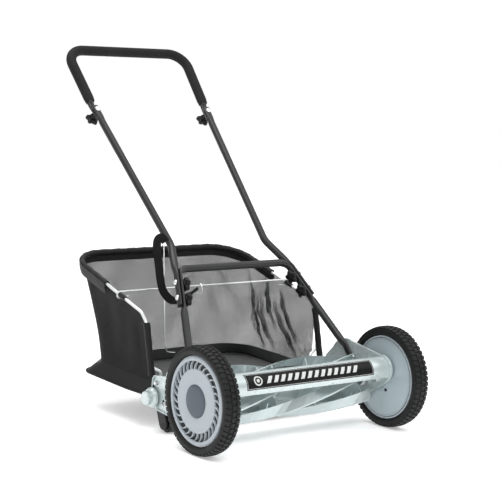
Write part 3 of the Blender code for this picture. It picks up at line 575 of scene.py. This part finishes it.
# %% Handle layout
TUBE, GRIP = 0.0095, 0.0135
PIVOT = (0.0864, 0.1563)
SLOPE = math.radians(50.5)
KNEE, FOOT_X, CROSSBAR_REACH, CROSSBAR_X = 0.045, 0.2380, 0.3016, 0.166
FLARE = (FOOT_X - CROSSBAR_X) / (CROSSBAR_REACH - KNEE)
LAP_LOW, LAP_HIGH = 0.196, 0.284
FLAT = 0.48
LAP = TUBE * FLAT + 0.0003
BEND = Vector((0.1465, 0.345, 0.441))
JOINT = Vector((0.1775, 0.665, 0.764))
SHOULDER = Vector((0.181, 0.6873, 0.7846))
TOP = Vector((0.190, 0.8096, 0.9244))
ALONG = (SHOULDER - JOINT).normalized()
NORMAL = Vector((0, -ALONG.z, ALONG.y)).normalized()


def leg_point(reach, side=1):
    x = FOOT_X - max(reach - KNEE, 0) * FLARE
    return Vector((side * x, PIVOT[0] + reach * math.cos(SLOPE), PIVOT[1] + reach * math.sin(SLOPE)))


def leg_normal(side):
    return Vector((side, FLARE * math.cos(SLOPE), FLARE * math.sin(SLOPE))).normalized()


def pressed_leg(point):
    if abs(point.x) < 0.1:
        return None
    reach = (point.z - PIVOT[1]) / math.sin(SLOPE)
    lap = ease(reach, LAP_LOW - 0.016, LAP_LOW - 0.002)
    lap *= 1 - ease(reach, LAP_HIGH + 0.004, LAP_HIGH + 0.020)
    foot = 1 - ease(reach, KNEE, KNEE + 0.022)
    side = math.copysign(1, point.x)
    direction = leg_normal(side) if lap > foot else Vector((side, 0, 0))
    return direction, 1 - (1 - FLAT) * max(lap, foot), 0


# %% Lower handle
corner = Vector((CROSSBAR_X, leg_point(CROSSBAR_REACH).y, leg_point(CROSSBAR_REACH).z))
half = [leg_point(-0.013), leg_point(KNEE), leg_point(KNEE + 0.024), leg_point(LAP_LOW - 0.030)]
half += [leg_point(LAP_LOW - 0.006), leg_point(LAP_HIGH - 0.010), corner]
path = refine(rounded(mirrored(half), [0.040, 0, 0, 0, 0, 0.026, 0.026, 0, 0, 0, 0, 0.040]), 0.008)
bm = bmesh.new()
swept(bm, path, TUBE, 20, pressed_leg)
place("lower_tube", bm, tube_paint, "handle", ["lower_handle"], 60)
for name, side in SIDES:
    bm = bmesh.new()
    swept(bm, [Vector((side * x, *PIVOT)) for x in (0.2400, 0.2475, 0.2476, 0.2530)],
          lambda i: (0.005, 0.005, 0.009, 0.0085)[i], 16)
    place(f"pivot_nut_{name}", bm, zinc, "handle")

# %% Middle tubes
for name, side in SIDES:
    along = (JOINT - BEND).normalized()
    points = [leg_point(r) + leg_normal(1) * 2 * LAP for r in (LAP_LOW, LAP_LOW + 0.02, LAP_HIGH)]
    points += [BEND, JOINT - along * 0.044, JOINT - along * 0.018, JOINT + along * 0.014]
    points = [Vector((side * p.x, p.y, p.z)) for p in points]

    def pressed_middle(point):
        if point.z > JOINT.z - 0.05:
            share = ease(point.z - JOINT.z, -0.030, -0.0125)
            return NORMAL, 1 - (1 - FLAT) * share, LAP * share
        reach = (point.z - PIVOT[1]) / math.sin(SLOPE)
        share = 1 - ease(reach, LAP_HIGH + 0.006, LAP_HIGH + 0.028)
        return leg_normal(side), 1 - (1 - FLAT) * share, 0

    bm = bmesh.new()
    swept(bm, refine(rounded(points, [0, 0.050, 0.060, 0, 0]), 0.008), TUBE, 20, pressed_middle)
    place(f"middle_stage_{name}", bm, tube_paint, "handle", [f"middle_tube_{name}"], 60)

# %% Upper handle and grip
half = [JOINT - ALONG * 0.016, JOINT + ALONG * 0.018, SHOULDER, TOP]
path = refine(rounded(mirrored(half), [0, 0.02, 0.050, 0.050, 0.02, 0]), 0.006)


def pressed_upper(point):
    share = 1 - ease(point.z - JOINT.z, 0.0125, 0.026)
    return NORMAL, 1 - (1 - FLAT) * share, -LAP * share


bm = bmesh.new()
swept(bm, path, TUBE, 20, pressed_upper)
place("upper_tube", bm, tube_paint, "handle", ["upper_handle"], 60)
start = SHOULDER + (TOP - SHOULDER).normalized() * 0.004
path = refine(rounded(mirrored([start, TOP]), [0.050, 0.050], 14), 0.012)
bm = bmesh.new()
last = len(path) - 1
swept(bm, path, lambda i: GRIP * (0.88 if i in (0, last) else 1), 24)
grip = place("grip_sleeve", bm, foam, "handle", ["foam_grip"], 50)
print("handle tubes: 4, grip:", round(sum((b - a).length for a, b in zip(path, path[1:])), 3), "m long")

# %% [markdown]
# ## Star knobs
# Hand knobs clamp every joint of the handle. The head is a star with five lobes, moulded
# over a nut. Its outline is a circle whose radius swings with the cosine of five times the
# angle, which gives round lobes and round valleys in one formula.


# %% Star knobs
def star_knob(name, body, node, spot, outwards, stem, radius=0.0185):
    side = Vector((1, 0, 0)) if abs(outwards.x) < 0.5 else Vector((0, 1, 0))
    across = outwards.cross(side).normalized()
    side = across.cross(outwards)
    rings = []
    head = stem + 0.013
    for height, size, wave in (
        (0, 0.0080, 0), (stem, 0.0088, 0), (stem + 0.0006, radius * 0.72, 0.14),
        (stem + 0.0022, radius * 0.82, 0.17), (head - 0.0035, radius * 0.86, 0.18),
        (head - 0.0012, radius * 0.80, 0.18), (head, radius * 0.68, 0.16), (head + 0.0002, 0.0060, 0),
        (head + 0.0016, 0.0050, 0),
    ):
        ring = []
        for k in range(60):
            a = 2 * math.pi * k / 60
            reach = size * (1 + wave * math.cos(5 * a))
            ring.append(spot + outwards * height + reach * (math.cos(a) * side + math.sin(a) * across))
        rings.append(ring)
    bm = bmesh.new()
    skin(bm, rings)
    place(name, bm, black_plastic, body, [node], 45)


for name, side in SIDES:
    out = leg_normal(side)
    for number, reach in enumerate((0.2180, 0.2607), 1):
        node = f"clamp_knob_{name}_{number}"
        star_knob(f"clamp_star_{name}_{number}", node, node, leg_point(reach, side) - out * (LAP + 0.0003),
                  -out, 0.002)
    node = f"joint_knob_{name}"
    spot = Vector((side * JOINT.x, JOINT.y, JOINT.z)) - NORMAL * 0.0146
    star_knob(f"joint_star_{name}", node, node, spot, -NORMAL, 0.008)
    node = f"height_knob_{name}"
    star_knob(f"height_star_{name}", node, node, Vector((side * 0.2382, 0.256, 0.083)),
              Vector((-side, 0, 0)), 0.004)
print("star knobs: 8")

# %% [markdown]
# ## Catcher frame
# An 8 mm wire holds the bag open. It hooks into the side plates, climbs a post on each side
# and runs round the rim. Black cloth sleeves cover most of it, and bright zinc shows where
# the sleeve leaves off near the cross rod.

# %% Catcher frame
RIM_X = 0.262
HOOK = (0.2452, 0.1195)
half = [(0.2530, *HOOK), (0.2325, *HOOK), (0.2325, 0.2500, 0.1450), (RIM_X, 0.2565, 0.1610)]
half += [(RIM_X, 0.2702, 0.2638), (RIM_X, 0.2943, 0.2877), (RIM_X, 0.6472, 0.392)]
radii = [0.006, 0.012, 0.020, 0.025, 0.025, 0.090]
wire = rounded(mirrored(half), radii + radii[::-1], 10)
bm = bmesh.new()
swept(bm, wire, 0.004, 14)
place("catcher_wire", bm, zinc, "catcher", ["catcher_frame"], 60)
print("wire:", round(sum((b - a).length for a, b in zip(wire, wire[1:])), 2), "m")

# %% Cloth sleeves on the wire
fine_wire = refine(wire, 0.006)


def sleeve(name, keep, radius):
    """A cloth tube round the stretch of wire that keep(point) chooses."""
    run = [p for p in fine_wire if keep(p)]
    bm = bmesh.new()

    def loose(i):
        return radius * (1 + 0.06 * math.sin(i * 0.9) + 0.04 * math.sin(i * 2.3))

    swept(bm, run, loose, 14)
    place(name, bm, vinyl, "catcher", (), 60)


for name, side in SIDES:
    post = [(side * RIM_X, 0.2438, 0.1394), (side * RIM_X, 0.2560, 0.1980), (side * RIM_X, 0.2705, 0.2650)]
    bm = bmesh.new()
    swept(bm, refine([Vector(p) for p in post], 0.008), lambda i: 0.0082 + 0.0004 * math.sin(i * 1.3), 14)
    place(f"post_sleeve_{name}", bm, vinyl, "catcher", (), 60)
    sleeve(f"rim_sleeve_{name}", lambda p: p.x * side > 0.2 and 0.366 < p.y < 0.402, 0.0062)
sleeve("rear_rim_sleeve", lambda p: p.y > 0.455, 0.0078)

# %% [markdown]
# ## Mesh bag
# The bag's wall is one strip of mesh that hangs from the rim: down one side, round the back
# and up the other side. It leans inwards to the floor, sags a little between the wire and
# the seam, and falls into slanting folds on the left side where it is slack.

# %% Mesh bag
COLUMNS, ROWS = 240, 36


def strip(points, count):
    """Evenly spaced points along a polyline."""
    points = [Vector(p) for p in points]
    lengths = [(b - a).length for a, b in zip(points, points[1:])]
    total = sum(lengths)
    result = []
    for k in range(count + 1):
        left = total * k / count
        for (a, b), length in zip(zip(points, points[1:]), lengths):
            if left <= length + 1e-9:
                result.append(a.lerp(b, min(left / length, 1)))
                break
            left -= length
    return result


top_half = [(RIM_X, 0.2702, 0.2625), (RIM_X, 0.2943, 0.2850), (RIM_X, 0.6472, 0.3890)]
top_edge = strip(rounded(mirrored(top_half), [0.020, 0.090, 0.090, 0.020]), COLUMNS)
seam_half = [(0.2440, 0.2560, 0.1180), (0.2400, 0.5780, 0.1300)]
seam = strip(rounded(mirrored(seam_half), [0.085, 0.085]), COLUMNS)


# Each fold: place along the wall, lean, depth and width, where it starts and ends down
# the wall, and how much it closes the weave, as gathered cloth and as painted shade.
FOLDS = (
    (0.765, 0.04, 0.010, 0.0050, 0.10, 0.85, 0.30), (0.785, 0.03, 0.008, 0.0040, 0.30, 1.05, 0.42),
    (0.806, 0.08, 0.012, 0.0060, 0.30, 1.00, 0.30), (0.845, 0.10, 0.012, 0.0045, 0.05, 0.70, 0.38),
    (0.880, 0.12, 0.010, 0.0060, 0.25, 1.00, 0.30), (0.915, 0.10, 0.010, 0.0045, 0.05, 0.80, 0.34),
    (0.700, 0.12, 0.006, 0.0120, 0.00, 0.65, 0.08), (0.640, 0.05, 0.004, 0.0140, 0.20, 0.95, 0.06),
)


def folds(u, v):
    """Height of the slanting folds, and how much they close the weave, as gathered cloth and as painted
    shade beside each fold.
    """
    height, gather_and_shade = 0.0, 0.0
    for middle, lean, depth, width, start, end, dark in FOLDS:
        if not start < v < end:
            continue
        wander = 0.008 * math.sin(9 * v + 30 * middle) + 0.003 * math.sin(31 * v + 70 * middle)
        gap = (u - (middle + lean * (v - 0.5) + wander)) / width
        fade = math.sin(math.pi * (v - start) / (end - start))
        height += depth * math.exp(-gap * gap) * fade
        # The closed weave sits just beside each fold crest. It stands for gathered cloth and is also a
        # painted line of shade.
        gather_and_shade += dark * math.exp(-(gap - 0.9) ** 2) * fade
    return height, min(gather_and_shade, 0.45)


def slack(u, v):
    """How far the cloth stands in from a straight line between rim and seam."""
    sag = 0.008 * math.sin(math.pi * v)
    ripple = 0.0022 * math.sin(34 * u + 3 * v) * math.sin(math.pi * v)
    ripple += 0.0010 * math.sin(91 * u - 5 * v) * math.sin(math.pi * v)
    return sag + ripple + folds(u, v)[0]


def thread_share(u, v):
    gathered = 0.34 * (1 - ease(u, 0.27, 0.33))
    cloud = 0.025 * math.sin(23 * u + 4 * v) * math.sin(5 * v + 9 * u) + 0.02 * math.sin(61 * u + 11 * v)
    corner = 0.10 * ease(u, 0.80, 0.95) * ease(v, 0.5, 1.0)
    return min(THREAD_SHARE + gathered + cloud + corner + folds(u, v)[1], 1)


bm = bmesh.new()
layer = bm.loops.layers.uv.new("metres")
dense = bm.loops.layers.uv.new("density")
grid, spots, shares = [], {}, {}
middle = Vector((0, 0.43, 0.2))
length = sum((b - a).length for a, b in zip(top_edge, top_edge[1:]))
for i in range(COLUMNS + 1):
    u = i / COLUMNS
    line = []
    for j in range(ROWS + 1):
        v = j / ROWS
        point = top_edge[i].lerp(seam[i], v)
        inwards = (middle - point)
        inwards.z = 0
        edge_fade = min(1, min(u, 1 - u) * 18)
        point += inwards.normalized() * slack(u, v) * edge_fade
        vert = bm.verts.new(point)
        line.append(vert)
        spots[vert] = (u * length, v * 0.22)
        shares[vert] = (thread_share(u, v), 0.0)
    grid.append(line)
for i in range(COLUMNS):
    for j in range(ROWS):
        face = bm.faces.new((grid[i][j], grid[i][j + 1], grid[i + 1][j + 1], grid[i + 1][j]))
        for loop in face.loops:
            loop[layer].uv = spots[loop.vert]
            loop[dense].uv = shares[loop.vert]
bag_area = sum(f.calc_area() for f in bm.faces)
bag = place("mesh_bag", bm, mesh_cloth, "catcher", ["catcher_bag"], 180)
print("bag cloth:", round(bag_area, 3), "square metres")

# %% [markdown]
# ## Vinyl floor and bindings
# The floor is stiff black vinyl. Its edge turns up into a skirt that is sewn to the mesh,
# and a doubled hem runs along the lower edge. A black band is also sewn over the rim.

# %% Vinyl floor
edge_half = [(0.2560, 0.2540, 0.0868), (0.2600, 0.5980, 0.1000)]
edge_path = strip(rounded(mirrored(edge_half), [0.055, 0.055]), COLUMNS)
for point in edge_path:
    point.z = 0.0858 + 0.040 * max(point.y - 0.36, 0) ** 1.15 * 1.4
bm = bmesh.new()
skirt_rows = []
for t in (0, 0.25, 0.5, 0.75, 1):
    row = []
    for i in range(COLUMNS + 1):
        point = seam[i].lerp(edge_path[i], t)
        row.append(bm.verts.new(point))
    skirt_rows.append(row)
for low, high in zip(skirt_rows, skirt_rows[1:]):
    for i in range(COLUMNS):
        bm.faces.new((low[i], low[i + 1], high[i + 1], high[i]))
rim_row = skirt_rows[-1]
for i in range(COLUMNS // 2):
    j = COLUMNS - i
    corners = (rim_row[i], rim_row[i + 1], rim_row[j - 1], rim_row[j])
    bm.faces.new(corners if j - 1 > i + 1 else (rim_row[i], rim_row[i + 1], rim_row[j]))
bmesh.ops.remove_doubles(bm, verts=bm.verts, dist=1e-5)
floor_area = sum(f.calc_area() for f in bm.faces)
vinyl_floor = place("vinyl_floor", bm, vinyl, "catcher", ["catcher_floor"], 30)
vinyl_floor.data.materials.append(painted_light_vinyl)
# Polygons past these lines take the lighter grey vinyl, which is painted light on the shaded floor inside
# the bag.
SKIRT_X, SKIRT_Y = -0.236, 0.262
for polygon in vinyl_floor.data.polygons:
    polygon.material_index = int(polygon.center.x > SKIRT_X and polygon.center.y > SKIRT_Y)
print("floor:", round(floor_area, 3), "square metres")

# %% Hem and rim band
bm = bmesh.new()
swept(bm, refine(edge_path, 0.02), 0.0026, 8)
place("floor_hem", bm, vinyl, "catcher", (), 60)
bm = bmesh.new()
band = []
for drop, out in ((0.004, 0.0075), (-0.010, 0.0070), (-0.022, 0.0040), (-0.022, 0.0028), (-0.010, 0.0052)):
    row = []
    for p in top_edge:
        if p.y < 0.455:
            continue
        away = (p - Vector((0, 0.43, p.z))).normalized()
        row.append(p + away * out + Vector((0, 0, drop)))
    band.append(row)
skin(bm, [list(column) for column in zip(*band)])
place("rim_band", bm, vinyl, "catcher", (), 60)

# %% [markdown]
# ## Cross rod, stay wire, strap and hook
# A thin rod hooks over the rim on both sides and keeps it from spreading. A stay wire holds
# the floor up at the back. A strap hangs from the right tube to a wire hook on the rod.

# %% Stay wire
bm = bmesh.new()
stay = [(0.0211, 0.6460, 0.3960), (0.0211, 0.6320, 0.4073), (-0.0012, 0.5900, 0.2603)]
stay += [(-0.0236, 0.5480, 0.1457), (-0.0194, 0.5450, 0.1268), (0.0065, 0.5450, 0.1231)]
swept(bm, rounded(stay, [0.006, 0.02, 0.006, 0.006], 6), 0.0014, 8)
place("stay_wire", bm, zinc, "catcher", (), 60)


# %% Lifting strap
def ribbon(bm, path, widths, thickness):
    rings = []
    for i, (point, width) in enumerate(zip(path, widths)):
        tangent = (path[min(i + 1, len(path) - 1)] - path[max(i - 1, 0)]).normalized()
        across = width - tangent * width.dot(tangent)
        face = tangent.cross(across).normalized() * thickness / 2
        front, rear = point + face, point - face
        rings.append([front + across, front - across, rear - across, rear + across])
    skin(bm, rings)


strap_points = [
    (-0.1640, 0.343, 0.450), (-0.1720, 0.346, 0.462), (-0.1800, 0.350, 0.4600),
    (-0.1838, 0.354, 0.447), (-0.1760, 0.358, 0.4074), (-0.1691, 0.358, 0.365),
    (-0.1647, 0.357, 0.3342), (-0.1560, 0.354, 0.316), (-0.1400, 0.350, 0.300),
    (-0.1248, 0.350, 0.299), (-0.1060, 0.350, 0.302), (-0.0800, 0.358, 0.309),
    (-0.0410, 0.375, 0.3227),
]
strap_path = [Vector(p) for p in strap_points]
for _ in range(2):
    finer = [strap_path[0]]
    for a, b in zip(strap_path, strap_path[1:]):
        finer += [a.lerp(b, 0.25), a.lerp(b, 0.75)]
    strap_path = finer + [strap_path[-1]]
STRAP_FACE = Vector((-0.60, -0.80, 0.10))
strap_widths = []
for k in range(len(strap_path)):
    share = ease(k / len(strap_path), 0.62, 0.9)
    tangent = strap_path[min(k + 1, len(strap_path) - 1)] - strap_path[max(k - 1, 0)]
    strap_widths.append(STRAP_FACE.cross(tangent).normalized() * (0.0102 - 0.0062 * share))
bm = bmesh.new()
ribbon(bm, strap_path, strap_widths, 0.0014)
strap = place("webbing_strap", bm, webbing, "handle", ["lifting_strap"], 40)
